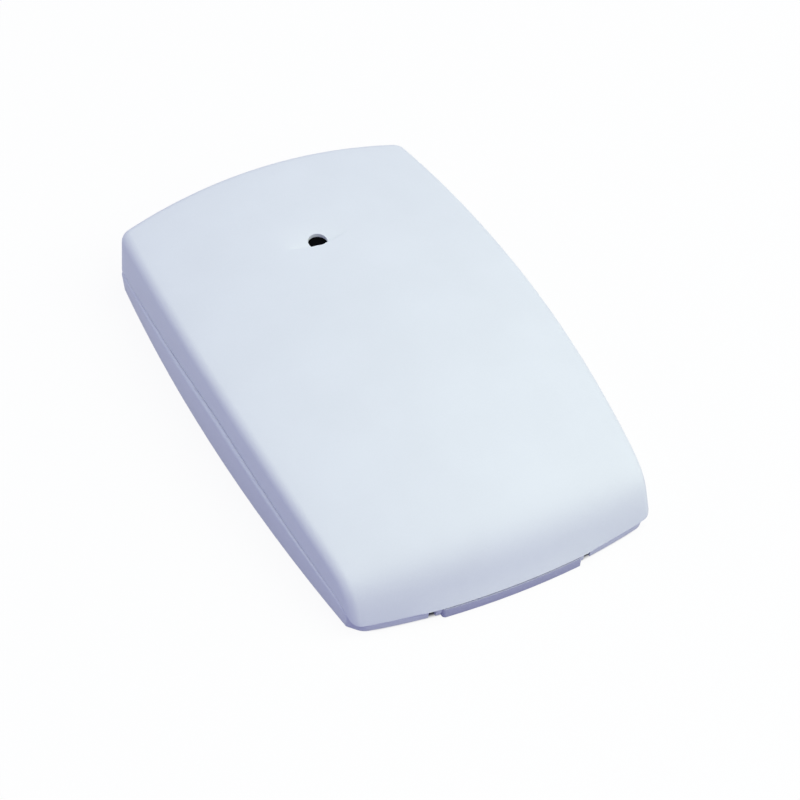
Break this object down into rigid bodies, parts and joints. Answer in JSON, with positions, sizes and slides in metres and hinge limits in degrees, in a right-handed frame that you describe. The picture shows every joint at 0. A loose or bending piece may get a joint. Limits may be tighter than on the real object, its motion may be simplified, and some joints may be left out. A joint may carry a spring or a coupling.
{
  "type": "glass break sensor",
  "caption": "Wall-mounted acoustic glass break sensor with a bowed, crowned cover hinged on a shallow base that carries the microphone and circuit board.",
  "frame": {"origin": "middle of the flat back, where it lies on the wall", "axes": "+X across the width, +Y along the length towards the microphone end, +Z out of the face, away from the wall"},
  "size_m": [0.0632, 0.0985, 0.019],
  "materials": {
    "white_plastic": "fine satin moulding grain",
    "base_plastic": "fine satin moulding grain",
    "felt": "black pressed felt",
    "board": "green solder mask over glass laminate",
    "screw_steel": "zinc plated",
    "boot_rubber": "matt black moulded rubber",
    "capsule_metal": "drawn can",
    "terminal_plastic": "green polyamide",
    "cage_brass": "nickel plated",
    "pin_tin": "tinned",
    "switch_blue": "moulded",
    "slider_white": "moulded",
    "switch_black": "moulded",
    "package_black": "epoxy",
    "relay_white": "moulded cap",
    "can_aluminium": "drawn can",
    "crystal_metal": "nickel plated can",
    "varistor_blue": "dipped epoxy",
    "lens_red": "tinted epoxy",
    "lens_green": "tinted epoxy",
    "chip_black": "printed film with tinned ends",
    "chip_tan": "ceramic with tinned ends"
  },
  "bodies": {
    "housing": {"rear_housing": "base_plastic", "circuit_board": "board", "board_screws": "screw_steel", "microphone_boot": "boot_rubber", "microphone_capsule": "capsule_metal", "terminal_block": "terminal_plastic", "terminal_cages": "cage_brass", "terminal_screws": "screw_steel", "terminal_pins": "pin_tin", "dip_body": "switch_blue", "tamper_body": "switch_black", "processor": "package_black", "processor_leads": "pin_tin", "amplifiers": "package_black", "amplifier_leads": "pin_tin", "relay": "relay_white", "capacitor_base": "switch_black", "capacitor_can": "can_aluminium", "crystal": "crystal_metal", "varistor": "varistor_blue", "varistor_leads": "pin_tin", "led_red": "lens_red", "led_green": "lens_green", "header_base": "switch_black", "header_pins": "pin_tin", "jumper_cap": "switch_black", "chip_resistors": "chip_black", "chip_capacitors": "chip_tan"},
    "cover": {"front_cover": "white_plastic", "dust_felt": "felt"},
    "plunger": {"tamper_plunger": "slider_white"},
    "slider_1": {"dip_slider_1": "slider_white"},
    "slider_2": {"dip_slider_2": "slider_white"},
    "slider_3": {"dip_slider_3": "slider_white"},
    "slider_4": {"dip_slider_4": "slider_white"}
  },
  "joints": [
    {"name": "cover_hinge", "type": "hinge", "parent": "housing", "child": "cover", "pos_m": [0, 0.0493, 0.0045], "axis": [-1, 0, 0], "range_deg": [0, 60]},
    {"name": "plunger_slide", "type": "slide", "parent": "housing", "child": "plunger", "axis": [0, 0, 1], "range_m": [0, 0.0011]},
    {"name": "slider_1_travel", "type": "slide", "parent": "housing", "child": "slider_1", "axis": [0, 1, 0], "range_m": [0, 0.0016]},
    {"name": "slider_2_travel", "type": "slide", "parent": "housing", "child": "slider_2", "axis": [0, 1, 0], "range_m": [0, 0.0016]},
    {"name": "slider_3_travel", "type": "slide", "parent": "housing", "child": "slider_3", "axis": [0, 1, 0], "range_m": [0, 0.0016]},
    {"name": "slider_4_travel", "type": "slide", "parent": "housing", "child": "slider_4", "axis": [0, 1, 0], "range_m": [0, 0.0016]}
  ],
  "couplings": [
    {"joint": "plunger_slide", "follows": "cover_hinge", "m_per_rad": 0.00105}
  ]
}
